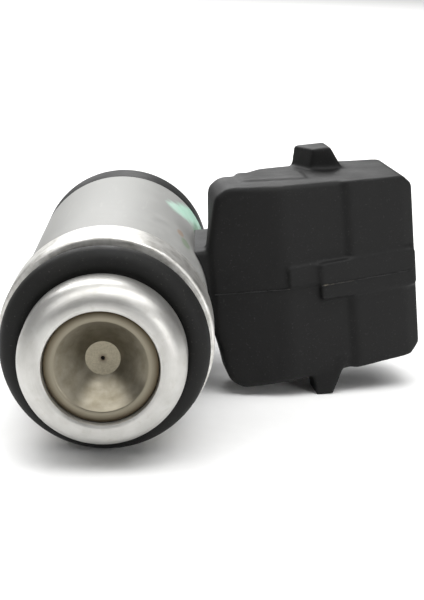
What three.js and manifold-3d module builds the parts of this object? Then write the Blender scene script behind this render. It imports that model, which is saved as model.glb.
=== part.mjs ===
// Top-feed electronic fuel injector with a tilted two-blade plug socket. Millimetres.
// +Y runs along the injector from the nozzle to the fuel inlet, +X points to the side that carries the
// plug socket, and +Z is up when the injector lies on its side. Stations along the axis are measured
// from the nozzle tip, and the finished group is moved so that the lower O-ring's centre is the origin.
import * as THREE from 'three';
import { mergeVertices } from 'three/addons/utils/BufferGeometryUtils.js';
import Module from 'manifold-3d';

const wasm = await Module();
wasm.setup();

// ---- Driving dimensions ----
const SIDES = 32; // flats around every turned piece
const ROUND_STEPS = 12; // steps round a seal, a hole or half a ball
const NOSE_STEPS = 6; // steps round the nose
const WIRE_SIDES = 6; // flats round the spring wire
const pressGap = 0.05; // radial gap of a pressed or moulded fit
const runningGap = 0.06; // radial gap of the sliding valve
const faceGap = 0.03; // axial gap where two pieces meet face to face
const cutOver = 1; // how far a cutting shape reaches past the solid it cuts

// Nozzle end
const lipRadius = 7.2; // widest radius of the rounded nose
const lipRound = 1.9; // corner radius of the nose
const lipLength = 4.05; // tip to the O-ring groove
const mouthRadius = 5.2; // outer edge of the nozzle mouth
const mouthChamfer = 0.3;
const mouthDepth = 0.6; // tip to the plate retainer's face
const grooveDepth = 0.7; // the shank is this much thinner than the nose
const grooveWidth = 3.3;
const shankLength = 12.65; // O-ring groove to the nozzle body's rear face

// Valve group
const retainerThick = 2.45;
const retainerRim = 0.88; // flat rim round the wide end of the spray cone
const sprayThroatRadius = 1.5; // narrow end of the spray cone
const plateThick = 0.25;
const orificeRadius = 0.17;
const seatThick = 3.6;
const seatHoleRadius = 0.6;
const seatHoleLength = 0.55;
const seatChamberRadius = 2.2;
const ballRadius = 1.6;
const guideThick = 1;
const guideHoleRadius = 0.5;
const guideHoleInset = 1.75; // from the guide's edge to the middle of its fuel holes
const guideHoles = 4;
const needleRadius = 1.2;
const needleBore = 0.75;
const needleGrip = 2.5; // length of needle tube held in the armature
const lift = 0.1; // travel of the valve
const armatureRadius = 4.04;
const armatureLength = 7.5;
const armatureReach = 7; // from the shank's end to the armature's rear face with the valve closed
const springRoom = 0.3; // radial room round the spring in its pocket
const springRadius = 1.5; // to the middle of the wire
const springWire = 0.4; // wire diameter
const springTurns = 7;
const adjusterWall = 0.8;
const adjusterLength = 9;
const adjusterReach = 4.5; // from the armature's rear face to the adjuster's lower end

// Fuel tube and inlet
const sleeveWall = 0.3;
const sleeveInset = 1.01; // from the needle guide to the sleeve's lower end
const sleeveReach = 6; // how far the sleeve covers the core above the armature
const tubeNeckWall = 0.82; // wall of the fuel tube under the upper O-ring
const tubeBore = 1.95;
const inletBore = 2.9;
const filterRoom = 0.4; // axial room below the filter in its bore
const supportThick = 1.3;
const supportStep = 3.18; // radial width of the seal's support ring and its gap
const upperSealSection = 3.5; // thickness of the upper O-ring
const upperSealSlack = 0.15; // room on each side of the upper O-ring
const filterFlangeRadius = 6.2;
const filterFlangeThick = 1.2;
const filterOpening = 1.95; // radius of the fuel opening
const filterCupLength = 4;
const filterWall = 0.4;
const filterWindow = 2.2; // width of the cup's side windows
const filterBase = 0.6; // thickness of the cup's closed end and of the band above the windows
const meshWall = 0.2;

// Coil
const jacketWall = 0.55;
const bobbinWall = 0.6;
const bobbinFlange = 0.8;
const bobbinLength = 15.6;
const windingRoom = 0.4; // from the winding to the edge of the bobbin's flanges
const coilSeat = 0.3; // room below the bobbin
const washerThick = 1.25;
const washerNotchHalf = 3; // half the width of the notch that the moulding passes through

// Barrel
const barrelRadius = 9;
const barrelWall = 1.05;
const barrelOverWasher = 0.82; // how far the barrel runs on behind the washer
const shoulderStep = 0.52; // the shoulder ring stands proud of the barrel
const shoulderLength = 4.7;
const edgeChamfer = 0.25;
const windowInset = 1.3; // from the bobbin's lower end to the window for the plug socket's neck
const windowLength = 8.9;
const windowHalf = 3.4;
const lowerSealSection = 2.62; // thickness of the lower O-ring
const sealStretch = 0.03; // gap between groove floor and either O-ring

// Moulding: collar, neck and plug socket. The socket leans, and its own sizes are radial (outwards from
// the axis), deep (from its front plane towards the inlet) and high.
const collarLength = 4.17;
const collarChamfer = 0.5;
const neckHalf = 4.1; // half height of the neck
const neckDrop = 0.2; // the neck starts this far behind the socket's inner edge
const neckShort = 1; // and stops this far before the socket's rear plane
const neckHold = 5.2; // how far the neck runs on into the socket
const neckSink = 2; // how far it reaches into the barrel's outline before it is cut to it
const bridgeSink = 0.2; // the bridge through the window starts this far outside the jacket's bore
const bridgeReach = 1.2; // and ends this far outside the barrel
const linkOver = 0.5; // how far the link through the washer runs on into the collar
const socketTilt = THREE.MathUtils.degToRad(7); // lean of the socket towards the inlet
const socketDrop = 1.8; // from the shank's end forward to where the front plane crosses the axis
const socketGap = 0.6; // from the barrel to the socket's inner end
const socketReach = 20.8; // inner end to mouth
const socketDepth = 13; // front plane to rear face
const innerHalf = 10.1; // half height near the inner end
const innerSlant = 1.1; // lean of the inner end, from the neck to its corner
const cornerLength = 1.3; // radial length of the inner corner's chamfer
const cornerHeight = 0.9; // height of that chamfer
const mouthHalf = 9.15; // half height at the mouth
const mouthCorner = 1; // chamfer of the mouth's upper and lower corners
const slopeLength = 7.2; // inner end to the line where the front face's slope changes
const slopeDrop = 1.5; // depth of the front face at the inner end
const frontTaper = 2.8; // depth of the raised band at the mouth
const rearTaper = 1.8; // the rear face's drop from the raised band to the inner end
const rearSlopeEnd = 6.6; // inner end to the foot of that drop
const shelfDepth = 7.8; // depth of the socket's inner end
const shelfRun = 3.6; // radial length of its rear shelf
const shelfLean = 0.3; // the inner end leans this much more than the socket
const bandLength = 7.4; // the raised band around the mouth
const bandRamp = 1.1;
const bandRise = 0.4;
const cavityWall = 1.4;
const cavityDepth = 13.4; // mouth to the socket's floor
const ribLength = 10.2;
const ribStepLength = 13.3;
const ribHalf = 1.85;
const ribRise = 0.7;
const ribStepRise = 0.35;
const ribStepFoot = 0.2; // the step runs this far below the socket's middle
const ribHold = 1; // how far the ribs reach into the front face
const lugRise = 2.1;
const lugWidth = 3.6;
const lugSink = 1; // how far a lug reaches into the socket
const upperLugLength = 9.4; // mouth to the upper lug's steep side
const upperLugFront = 8.4; // its distance behind the front plane
const upperLugSweep = 1.4; // its steep side slants back by this much
const lowerLugLength = 11.4;
const lowerLugFront = 1.3;
const lugTopLength = 2;
const lugFoot = 0.4; // lean of the lug's steep side
const lugRamp = 1.7; // lean of its ramp side

// Terminals
const bladeThick = 0.8;
const bladeWidth = 2.8;
const bladePitch = 5;
const bladeShort = 5.4; // mouth of the socket to the blade's tip
const bladeRoom = 0.2; // from the barrel to the blade's inner end
const bladeChamfer = 0.5;

// ---- Sizes that follow ----
const shankRadius = lipRadius - grooveDepth;
const seatBore = mouthRadius - mouthChamfer;
const stackRadius = seatBore - pressGap;
const sprayMouthRadius = stackRadius - retainerRim;
const guideHoleCircle = stackRadius - guideHoleInset;
const grooveEnd = lipLength + grooveWidth;
const lowerSealStation = lipLength + grooveWidth / 2;
const shankEnd = grooveEnd + shankLength;
const shoulderEnd = grooveEnd + shoulderLength;
const shoulderRadius = barrelRadius + shoulderStep;
const barrelStart = shoulderEnd + faceGap;
const coilChamberRadius = barrelRadius - barrelWall;
const retainerEnd = mouthDepth + retainerThick;
const plateStart = retainerEnd + faceGap;
const seatStart = plateStart + plateThick + faceGap;
const seatEnd = seatStart + seatThick;
const seatConeStart = seatStart + seatHoleLength;
const ballStation = Math.SQRT2 * (ballRadius + faceGap) + seatConeStart - seatHoleRadius;
const guideStart = seatEnd + faceGap;
const guideEnd = guideStart + guideThick;
const armatureTop = shankEnd + armatureReach;
const armatureStart = armatureTop - armatureLength;
const needleStart = ballStation + Math.sqrt(ballRadius ** 2 - needleBore ** 2) + faceGap;
const needleEnd = armatureStart + needleGrip;
const springPocketRadius = springRadius + springWire / 2 + springRoom;
const adjusterStart = armatureTop + adjusterReach;
const adjusterRadius = tubeBore - pressGap;
const sleeveStart = guideEnd + sleeveInset;
const sleeveEnd = armatureTop + sleeveReach;
const sleeveBore = armatureRadius + runningGap;
const sleeveRadius = sleeveBore + sleeveWall;
const bodyBore = sleeveRadius + pressGap;
const coreStart = armatureTop + lift + faceGap;
const coreRadius = sleeveBore - pressGap;
const tubeRadius = sleeveRadius;
const neckRadius = inletBore + tubeNeckWall;
const bobbinStart = shankEnd + coilSeat;
const bobbinEnd = bobbinStart + bobbinLength;
const bobbinBore = tubeRadius + 2 * pressGap;
const bobbinHub = bobbinBore + bobbinWall;
const jacketRadius = coilChamberRadius - pressGap;
const jacketBore = jacketRadius - jacketWall;
const bobbinRadius = jacketBore - pressGap;
const windingRadius = bobbinRadius - windingRoom;
const washerStart = bobbinEnd + faceGap;
const washerEnd = washerStart + washerThick;
const barrelEnd = washerEnd + barrelOverWasher;
const windowStart = bobbinStart + windowInset;
const windowEnd = windowStart + windowLength;
const collarStart = barrelEnd + faceGap;
const collarEnd = collarStart + collarLength;
const supportStart = collarEnd + faceGap;
const supportEnd = supportStart + supportThick;
const supportRadius = neckRadius + supportStep;
const upperSealStart = supportEnd + upperSealSlack;
const upperSealStation = upperSealStart + upperSealSection / 2;
const tubeEnd = upperSealStart + upperSealSection + upperSealSlack;
const filterStart = tubeEnd + faceGap;
const filterRadius = inletBore - pressGap;
const filterBore = filterRadius - filterWall;
const filterCupStart = filterStart - filterCupLength;
const inletBoreStart = filterCupStart - filterRoom;
const meshRadius = filterBore - pressGap;
const meshStart = filterCupStart + filterBase + faceGap;
const socketStation = shankEnd - socketDrop;
const socketInner = barrelRadius + socketGap;
const socketMouth = socketInner + socketReach;
const slopeEnd = socketInner + slopeLength;
const bandStart = socketMouth - bandLength;

// ---- Shape makers ----
const weldReach = 1e-5; // points closer than this are one point

function turnedSolid(profile) {
  return new THREE.LatheGeometry(profile.map(([r, s]) => new THREE.Vector2(r, s)), SIDES);
}

function turnedRing(profile) {
  return turnedSolid([...profile, profile[0]]);
}

// Points of an arc in the (radius, station) plane, from one angle to another in degrees.
function arc(r, s, radius, from, to, steps) {
  const points = [];
  for (let i = 0; i <= steps; i += 1) {
    const angle = THREE.MathUtils.degToRad(from + ((to - from) * i) / steps);
    points.push([r + radius * Math.cos(angle), s + radius * Math.sin(angle)]);
  }
  return points;
}

function oRing(innerRadius, section, station) {
  return turnedSolid(arc(innerRadius + section / 2, station, section / 2, 0, 360, ROUND_STEPS));
}

function block(x0, x1, y0, y1, z0, z1) {
  const box = new THREE.BoxGeometry(x1 - x0, y1 - y0, z1 - z0);
  return box.translate((x0 + x1) / 2, (y0 + y1) / 2, (z0 + z1) / 2);
}

function outline(points) {
  return new THREE.Shape(points.map(([x, y]) => new THREE.Vector2(x, y)));
}

// A plate whose outline lies in the X-Z plane, from y0 to y1.
function plate(points, y0, y1) {
  const geometry = new THREE.ExtrudeGeometry(outline(points), { depth: y1 - y0, bevelEnabled: false });
  return geometry.rotateX(Math.PI / 2).translate(0, y1, 0);
}

// A prism whose outline lies in the X-Y plane, from z0 to z1.
function prism(points, z0, z1) {
  const geometry = new THREE.ExtrudeGeometry(outline(points), { depth: z1 - z0, bevelEnabled: false });
  return geometry.translate(0, 0, z0);
}

function toSolid(geometry) {
  const bare = geometry.clone();
  bare.deleteAttribute('normal');
  bare.deleteAttribute('uv');
  const merged = mergeVertices(bare, weldReach);
  const index = merged.index.array;
  const kept = [];
  for (let i = 0; i < index.length; i += 3) {
    const [a, b, c] = [index[i], index[i + 1], index[i + 2]];
    if (a !== b && b !== c && c !== a) kept.push(a, b, c);
  }
  const vertProperties = new Float32Array(merged.attributes.position.array);
  const triVerts = new Uint32Array(kept);
  return new wasm.Manifold(new wasm.Mesh({ numProp: 3, vertProperties, triVerts }));
}

function toGeometry(solid) {
  const mesh = solid.getMesh();
  const geometry = new THREE.BufferGeometry();
  geometry.setAttribute('position', new THREE.BufferAttribute(new Float32Array(mesh.vertProperties), 3));
  geometry.setIndex(new THREE.BufferAttribute(new Uint32Array(mesh.triVerts), 1));
  geometry.computeVertexNormals();
  return geometry;
}

function finish(color, roughness, metalness) {
  return new THREE.MeshStandardMaterial({ color, roughness, metalness });
}

const injector = new THREE.Group();
injector.position.y = -lowerSealStation;

function add(name, geometry, material) {
  const mesh = new THREE.Mesh(geometry, material);
  mesh.name = name;
  injector.add(mesh);
}

const brightSteel = finish(0xc9c7c2, 0.3, 1);
const matteSteel = finish(0x9c9b97, 0.5, 1);
const rubber = finish(0x17181a, 0.6, 0);
const blackPlastic = finish(0x1b1c1e, 0.7, 0);

// ---- Nozzle end ----
function nozzleBody() {
  const nose = arc(lipRadius - lipRound, lipRound, lipRound, -90, 0, NOSE_STEPS);
  return turnedRing([
    [mouthRadius, 0],
    ...nose,
    [lipRadius, lipLength - edgeChamfer],
    [lipRadius - edgeChamfer, lipLength],
    [shankRadius, lipLength],
    [shankRadius, shankEnd],
    [bodyBore, shankEnd],
    [bodyBore, guideEnd + faceGap],
    [seatBore, guideEnd + faceGap],
    [seatBore, mouthChamfer],
  ]);
}
add('nozzle_body', nozzleBody(), brightSteel);

add('shoulder_ring', turnedRing([
  [shankRadius + pressGap, grooveEnd],
  [shoulderRadius - edgeChamfer, grooveEnd],
  [shoulderRadius, grooveEnd + edgeChamfer],
  [shoulderRadius, shoulderEnd - edgeChamfer],
  [shoulderRadius - edgeChamfer, shoulderEnd],
  [shankRadius + pressGap, shoulderEnd],
]), finish(0xb9b5ae, 0.4, 1));

add('lower_o_ring', oRing(shankRadius + sealStretch, lowerSealSection, lowerSealStation), rubber);

add('plate_retainer', turnedRing([
  [sprayMouthRadius, mouthDepth],
  [stackRadius, mouthDepth],
  [stackRadius, retainerEnd],
  [sprayThroatRadius, retainerEnd],
]), finish(0x8f887c, 0.35, 1));

add('orifice_plate', turnedRing([
  [orificeRadius, plateStart],
  [stackRadius, plateStart],
  [stackRadius, plateStart + plateThick],
  [orificeRadius, plateStart + plateThick],
]), finish(0xb3a996, 0.45, 1));

add('valve_seat', turnedRing([
  [seatHoleRadius, seatStart],
  [stackRadius, seatStart],
  [stackRadius, seatEnd],
  [seatChamberRadius, seatEnd],
  [seatChamberRadius, seatConeStart + seatChamberRadius - seatHoleRadius],
  [seatHoleRadius, seatConeStart],
]), brightSteel);

function needleGuide() {
  const disc = toSolid(turnedRing([
    [needleRadius + runningGap, guideStart],
    [stackRadius, guideStart],
    [stackRadius, guideEnd],
    [needleRadius + runningGap, guideEnd],
  ]));
  let guide = disc;
  const drill = guideThick + cutOver;
  for (let i = 0; i < guideHoles; i += 1) {
    const angle = ((i + 0.5) * 2 * Math.PI) / guideHoles;
    const hole = new THREE.CylinderGeometry(guideHoleRadius, guideHoleRadius, drill, ROUND_STEPS);
    const x = guideHoleCircle * Math.cos(angle);
    const z = guideHoleCircle * Math.sin(angle);
    hole.translate(x, (guideStart + guideEnd) / 2, z);
    guide = guide.subtract(toSolid(hole));
  }
  return toGeometry(guide);
}
add('needle_guide', needleGuide(), matteSteel);

// ---- Moving valve ----
add('valve_ball', turnedSolid(arc(0, ballStation, ballRadius, -90, 90, ROUND_STEPS)), brightSteel);

add('needle_tube', turnedRing([
  [needleBore, needleStart],
  [needleRadius, needleStart],
  [needleRadius, needleEnd],
  [needleBore, needleEnd],
]), brightSteel);

add('armature', turnedRing([
  [needleRadius + pressGap, armatureStart],
  [armatureRadius - edgeChamfer, armatureStart],
  [armatureRadius, armatureStart + edgeChamfer],
  [armatureRadius, armatureTop],
  [springPocketRadius, armatureTop],
  [springPocketRadius, needleEnd + faceGap],
  [needleRadius + pressGap, needleEnd + faceGap],
]), matteSteel);

class Helix extends THREE.Curve {
  constructor(radius, start, end, turns) {
    super();
    this.radius = radius;
    this.start = start;
    this.end = end;
    this.turns = turns;
  }

  getPoint(t) {
    const angle = t * this.turns * Math.PI * 2;
    const height = THREE.MathUtils.lerp(this.start, this.end, t);
    return new THREE.Vector3(this.radius * Math.cos(angle), height, this.radius * Math.sin(angle));
  }
}

function returnSpring() {
  const half = springWire / 2;
  const lowEnd = needleEnd + 2 * faceGap + half;
  const highEnd = adjusterStart - faceGap - half;
  const wire = [];
  for (let i = 0; i < WIRE_SIDES; i += 1) {
    const angle = (i * 2 * Math.PI) / WIRE_SIDES;
    wire.push([half * Math.cos(angle), half * Math.sin(angle)]);
  }
  const extrudePath = new Helix(springRadius, lowEnd, highEnd, springTurns);
  const steps = springTurns * ROUND_STEPS;
  return new THREE.ExtrudeGeometry(outline(wire), { steps, bevelEnabled: false, extrudePath });
}
add('return_spring', returnSpring(), matteSteel);

// ---- Fuel tube ----
add('valve_sleeve', turnedRing([
  [sleeveBore, sleeveStart],
  [sleeveRadius, sleeveStart],
  [sleeveRadius, sleeveEnd],
  [sleeveBore, sleeveEnd],
]), brightSteel);

add('inlet_tube', turnedRing([
  [tubeBore, coreStart],
  [coreRadius, coreStart],
  [coreRadius, sleeveEnd + faceGap],
  [tubeRadius, sleeveEnd + faceGap],
  [tubeRadius, collarEnd],
  [neckRadius, collarEnd],
  [neckRadius, tubeEnd],
  [inletBore, tubeEnd],
  [inletBore, inletBoreStart],
  [tubeBore, inletBoreStart],
]), brightSteel);

add('adjusting_sleeve', turnedRing([
  [adjusterRadius - adjusterWall, adjusterStart],
  [adjusterRadius, adjusterStart],
  [adjusterRadius, adjusterStart + adjusterLength],
  [adjusterRadius - adjusterWall, adjusterStart + adjusterLength],
]), brightSteel);

add('seal_support_ring', turnedRing([
  [neckRadius + pressGap, supportStart],
  [supportRadius, supportStart],
  [supportRadius, supportEnd],
  [neckRadius + pressGap, supportEnd],
]), blackPlastic);

add('upper_o_ring', oRing(neckRadius + sealStretch, upperSealSection, upperSealStation), rubber);

function filterFrame() {
  const cup = toSolid(turnedSolid([
    [0, filterCupStart],
    [filterRadius, filterCupStart],
    [filterRadius, filterStart],
    [filterFlangeRadius, filterStart],
    [filterFlangeRadius, filterStart + filterFlangeThick - edgeChamfer],
    [filterFlangeRadius - edgeChamfer, filterStart + filterFlangeThick],
    [filterOpening, filterStart + filterFlangeThick],
    [filterOpening, filterStart],
    [filterBore, filterStart],
    [filterBore, filterCupStart + filterBase],
    [0, filterCupStart + filterBase],
  ]));
  const reach = filterRadius + cutOver;
  const low = filterCupStart + filterBase;
  const high = filterStart - filterBase;
  const alongX = block(-reach, reach, low, high, -filterWindow / 2, filterWindow / 2);
  const alongZ = block(-filterWindow / 2, filterWindow / 2, low, high, -reach, reach);
  return toGeometry(cup.subtract(toSolid(alongX)).subtract(toSolid(alongZ)));
}
add('filter_frame', filterFrame(), finish(0x3a5a86, 0.5, 0));

add('filter_mesh', turnedSolid([
  [0, meshStart],
  [meshRadius, meshStart],
  [meshRadius, filterStart - faceGap],
  [meshRadius - meshWall, filterStart - faceGap],
  [meshRadius - meshWall, meshStart + meshWall],
  [0, meshStart + meshWall],
]), finish(0xb8a878, 0.6, 0.4));

// ---- Coil ----
add('coil_bobbin', turnedRing([
  [bobbinBore, bobbinStart],
  [bobbinRadius, bobbinStart],
  [bobbinRadius, bobbinStart + bobbinFlange],
  [bobbinHub, bobbinStart + bobbinFlange],
  [bobbinHub, bobbinEnd - bobbinFlange],
  [bobbinRadius, bobbinEnd - bobbinFlange],
  [bobbinRadius, bobbinEnd],
  [bobbinBore, bobbinEnd],
]), finish(0xd8cfb8, 0.6, 0));

add('coil_winding', turnedRing([
  [bobbinHub + pressGap, bobbinStart + bobbinFlange + faceGap],
  [windingRadius, bobbinStart + bobbinFlange + faceGap],
  [windingRadius, bobbinEnd - bobbinFlange - faceGap],
  [bobbinHub + pressGap, bobbinEnd - bobbinFlange - faceGap],
]), finish(0xa8502a, 0.4, 0.8));

// The washer, or the room that it takes up in the moulding when the gap is more than nothing.
function washerSolid(gap) {
  const disc = toSolid(turnedRing([
    [tubeRadius + pressGap - gap, washerStart - gap],
    [jacketRadius + gap, washerStart - gap],
    [jacketRadius + gap, washerEnd + gap],
    [tubeRadius + pressGap - gap, washerEnd + gap],
  ]));
  const notchHalf = washerNotchHalf - gap;
  const low = washerStart - cutOver;
  const high = washerEnd + cutOver;
  const notch = block(bobbinHub + gap, barrelRadius, low, high, -notchHalf, notchHalf);
  return disc.subtract(toSolid(notch));
}
add('flux_washer', toGeometry(washerSolid(0)), matteSteel);

// ---- Barrel ----
function barrelHousing() {
  const shell = toSolid(turnedRing([
    [shankRadius + pressGap, barrelStart],
    [barrelRadius, barrelStart],
    [barrelRadius, barrelEnd],
    [coilChamberRadius, barrelEnd],
    [coilChamberRadius, shankEnd],
    [shankRadius + pressGap, shankEnd],
  ]));
  const reach = barrelRadius + cutOver;
  const window = block(shankRadius, reach, windowStart, windowEnd, -windowHalf, windowHalf);
  return toGeometry(shell.subtract(toSolid(window)));
}
add('barrel_housing', barrelHousing(), finish(0xa3a19b, 0.5, 1));

// ---- Moulding ----
// The socket is drawn in its own leaning frame: X is the radial distance, Y the distance behind the
// front face, Z the height. This places a shape of that frame on the injector.
function lean(geometry) {
  return geometry.rotateZ(socketTilt).translate(0, socketStation, 0);
}

// Half height of the tapered socket at a radial distance.
function halfHeight(radial) {
  const share = (radial - socketInner) / socketReach;
  return THREE.MathUtils.lerp(innerHalf, mouthHalf, share);
}

function lug(start, front, side, sweep) {
  const top = side * (halfHeight(start) + lugRise);
  const foot = side * (mouthHalf - lugSink);
  const rear = front + lugWidth;
  const first = start - sweep;
  const flatStart = first + lugFoot;
  const flatEnd = start + lugFoot + lugTopLength;
  const points = [[first, foot], [flatStart, top], [flatEnd, top], [flatEnd + lugRamp, foot]];
  if (side > 0) points.reverse();
  const whole = toSolid(lean(plate(points, front, rear)));
  const plan = [[start, front], [socketMouth, front], [socketMouth, rear], [first, rear]];
  const swept = toSolid(lean(prism(plan, -innerHalf - lugRise - cutOver, innerHalf + lugRise + cutOver)));
  return whole.intersect(swept);
}

// Distance of the tapered front face behind the front plane, outside the raised band.
function frontFace(radial) {
  return (frontTaper * (radial - slopeEnd)) / (socketMouth - slopeEnd) + bandRise;
}

function socketBody() {
  const corner = socketInner + innerSlant;
  const side = [
    [socketInner, neckHalf],
    [corner, innerHalf - cornerHeight],
    [corner + cornerLength, innerHalf],
    [socketMouth - mouthCorner, mouthHalf],
    [socketMouth, mouthHalf - mouthCorner],
  ];
  const elevation = [...side, ...side.map(([x, z]) => [x, -z]).reverse()].reverse();
  const bandEdge = bandStart + bandRamp;
  const top = [
    [socketInner, slopeDrop],
    [slopeEnd, bandRise],
    [bandStart, frontFace(bandStart)],
    [bandEdge, frontFace(bandEdge) - bandRise],
    [socketMouth, frontTaper],
    [socketMouth, socketDepth],
    [bandStart, socketDepth],
    [socketInner + rearSlopeEnd, socketDepth - rearTaper],
    [socketInner + shelfRun, shelfDepth],
    [socketInner + shelfDepth * Math.sin(socketTilt) + shelfLean, shelfDepth],
  ];
  const tall = toSolid(lean(plate(elevation, -cutOver, socketDepth + cutOver)));
  const deep = toSolid(lean(prism(top, -innerHalf - cutOver, innerHalf + cutOver)));
  return tall.intersect(deep);
}

// The key rib along the middle of the front face, and the lower step that leads into it.
function ribs() {
  const ribStart = socketMouth - ribLength;
  const stepStart = socketMouth - ribStepLength;
  const stepEnd = ribStart + ribHold;
  const rib = [
    [ribStart, frontFace(ribStart) - ribRise],
    [socketMouth, frontFace(socketMouth) - ribRise],
    [socketMouth, frontFace(socketMouth) + ribHold],
    [ribStart, frontFace(ribStart) + ribHold],
  ];
  const step = [
    [stepStart, frontFace(stepStart) - ribStepRise],
    [stepEnd, frontFace(stepEnd) - ribStepRise],
    [stepEnd, frontFace(stepEnd) + ribHold],
    [stepStart, frontFace(stepStart) + ribHold],
  ];
  const full = toSolid(lean(prism(rib, -ribHalf, ribHalf)));
  return full.add(toSolid(lean(prism(step, -ribStepFoot, ribHalf))));
}

function neck() {
  const start = slopeDrop + neckDrop;
  const end = socketDepth - neckShort;
  const from = barrelRadius - neckSink;
  return toSolid(lean(block(from, socketInner + neckHold, start, end, -neckHalf, neckHalf)));
}

// The room that the barrel takes up beside the socket.
function barrelRoom() {
  const radius = barrelRadius + pressGap;
  return toSolid(turnedSolid([[0, 0], [radius, 0], [radius, collarEnd], [0, collarEnd]]));
}

function bridge() {
  const half = windowHalf - pressGap;
  const low = windowStart + pressGap;
  const high = windowEnd - pressGap;
  return toSolid(block(jacketBore + bridgeSink, barrelRadius + bridgeReach, low, high, -half, half));
}

function jacketAndCollar() {
  const boreEnd = washerEnd + 2 * faceGap;
  return toSolid(turnedRing([
    [jacketBore, bobbinStart],
    [jacketRadius, bobbinStart],
    [jacketRadius, collarStart],
    [barrelRadius, collarStart],
    [barrelRadius, collarEnd - collarChamfer],
    [barrelRadius - collarChamfer, collarEnd],
    [tubeRadius + pressGap, collarEnd],
    [tubeRadius + pressGap, boreEnd],
    [jacketBore, boreEnd],
  ]));
}

// The moulding that runs through the washer's notch and joins the jacket to the collar.
function washerLink() {
  const half = washerNotchHalf - 2 * pressGap;
  const low = bobbinEnd + faceGap;
  const high = washerEnd + linkOver;
  const round = turnedSolid([[0, low], [jacketRadius, low], [jacketRadius, high], [0, high]]);
  const strip = block(bobbinHub + 2 * pressGap, barrelRadius, low, high, -half, half);
  return toSolid(round).intersect(toSolid(strip));
}

function blade(side, grow) {
  const middle = (side * bladePitch) / 2;
  const low = middle - bladeThick / 2 - grow;
  const high = middle + bladeThick / 2 + grow;
  const centre = (frontTaper + socketDepth) / 2;
  const front = centre - bladeWidth / 2 - grow;
  const rear = centre + bladeWidth / 2 + grow;
  const inner = barrelRadius + bladeRoom - grow;
  const tip = socketMouth - bladeShort + grow;
  const points = [
    [inner, front],
    [tip - bladeChamfer, front],
    [tip, front + bladeChamfer],
    [tip, rear - bladeChamfer],
    [tip - bladeChamfer, rear],
    [inner, rear],
  ];
  return lean(prism(points, low, high));
}

// The socket's cavity. Its rear wall follows the slope of the rear face, so the wall stays even.
function cavity() {
  const half = mouthHalf - cavityWall;
  const front = frontTaper + cavityWall;
  const rear = socketDepth - cavityWall;
  const floor = socketMouth - cavityDepth;
  const slopeFoot = socketInner + rearSlopeEnd;
  const drop = (rearTaper * (bandStart - floor)) / (bandStart - slopeFoot);
  const plan = [
    [floor, front],
    [socketMouth + cutOver, front],
    [socketMouth + cutOver, rear],
    [bandStart, rear],
    [floor, rear - drop],
  ];
  return toSolid(lean(prism(plan, -half, half)));
}

function moulding() {
  const outside = socketBody()
    .add(ribs())
    .add(lug(socketMouth - upperLugLength, upperLugFront, 1, upperLugSweep))
    .add(lug(socketMouth - lowerLugLength, lowerLugFront, -1, 0))
    .add(neck())
    .subtract(barrelRoom())
    .add(bridge())
    .add(jacketAndCollar())
    .add(washerLink());
  return outside
    .subtract(cavity())
    .subtract(toSolid(blade(1, pressGap)))
    .subtract(toSolid(blade(-1, pressGap)))
    .subtract(washerSolid(pressGap));
}
add('plug_moulding', toGeometry(moulding()), blackPlastic);
add('terminal_upper', blade(1, 0), finish(0xc8c4b4, 0.3, 1));
add('terminal_lower', blade(-1, 0), finish(0xc8c4b4, 0.3, 1));

export default injector;
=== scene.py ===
import math

import bmesh
import bpy
from mathutils import Matrix, Vector


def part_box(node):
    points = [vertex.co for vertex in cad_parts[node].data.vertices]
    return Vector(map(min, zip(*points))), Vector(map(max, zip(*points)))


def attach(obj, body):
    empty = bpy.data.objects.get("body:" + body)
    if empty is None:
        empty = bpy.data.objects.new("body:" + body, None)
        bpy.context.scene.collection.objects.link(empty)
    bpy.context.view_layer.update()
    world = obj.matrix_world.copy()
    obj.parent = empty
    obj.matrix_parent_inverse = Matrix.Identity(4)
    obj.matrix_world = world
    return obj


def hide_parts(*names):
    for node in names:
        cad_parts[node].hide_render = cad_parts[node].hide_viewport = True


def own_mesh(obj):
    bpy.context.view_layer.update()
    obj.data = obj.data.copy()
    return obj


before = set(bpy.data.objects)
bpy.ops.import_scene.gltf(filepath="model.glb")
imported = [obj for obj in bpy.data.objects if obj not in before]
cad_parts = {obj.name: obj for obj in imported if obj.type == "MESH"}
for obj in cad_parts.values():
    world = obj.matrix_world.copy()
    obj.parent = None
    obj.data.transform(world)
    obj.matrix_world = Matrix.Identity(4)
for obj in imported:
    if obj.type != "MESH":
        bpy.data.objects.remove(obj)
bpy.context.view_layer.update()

# ---- Camera ----
# A long lens held in front of the nozzle, a little above it and turned slightly about its own axis.
# It looks back along the injector, so the nose is nearest and the plug socket stands out to the right.
camera = bpy.data.objects.new("camera", bpy.data.cameras.new("camera"))
bpy.context.scene.collection.objects.link(camera)
camera.data.lens = 84
camera.data.sensor_width = 36
camera.data.clip_start = 0.005
camera.data.clip_end = 20
look = Vector((-0.014185, 0.962455, -0.271069)).normalized()
right = Vector((0.996408, -0.009028, -0.084196)).normalized()
up = right.cross(look).normalized()
lens_place = Vector((0.011277, -0.115240, 0.035992))
camera.matrix_world = Matrix((
    (right.x, up.x, -look.x, lens_place.x),
    (right.y, up.y, -look.y, lens_place.y),
    (right.z, up.z, -look.z, lens_place.z),
    (0, 0, 0, 1),
))
bpy.context.scene.camera = camera

# ---- Nozzle body ----
# The steel nozzle, turned from bar in one piece: a rounded nose with a bore for the spray parts, the
# groove of the lower seal, and a plain shank that the shoulder ring and the barrel are pressed on.
mm = 0.001
nozzle_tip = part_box("nozzle_body")[0].y


def station(s):
    """Place along the injector's axis, from millimetres behind the nozzle tip."""
    return nozzle_tip + s * mm


def activate(piece):
    bpy.ops.object.select_all(action="DESELECT")
    piece.select_set(True)
    bpy.context.view_layer.objects.active = piece


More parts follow.
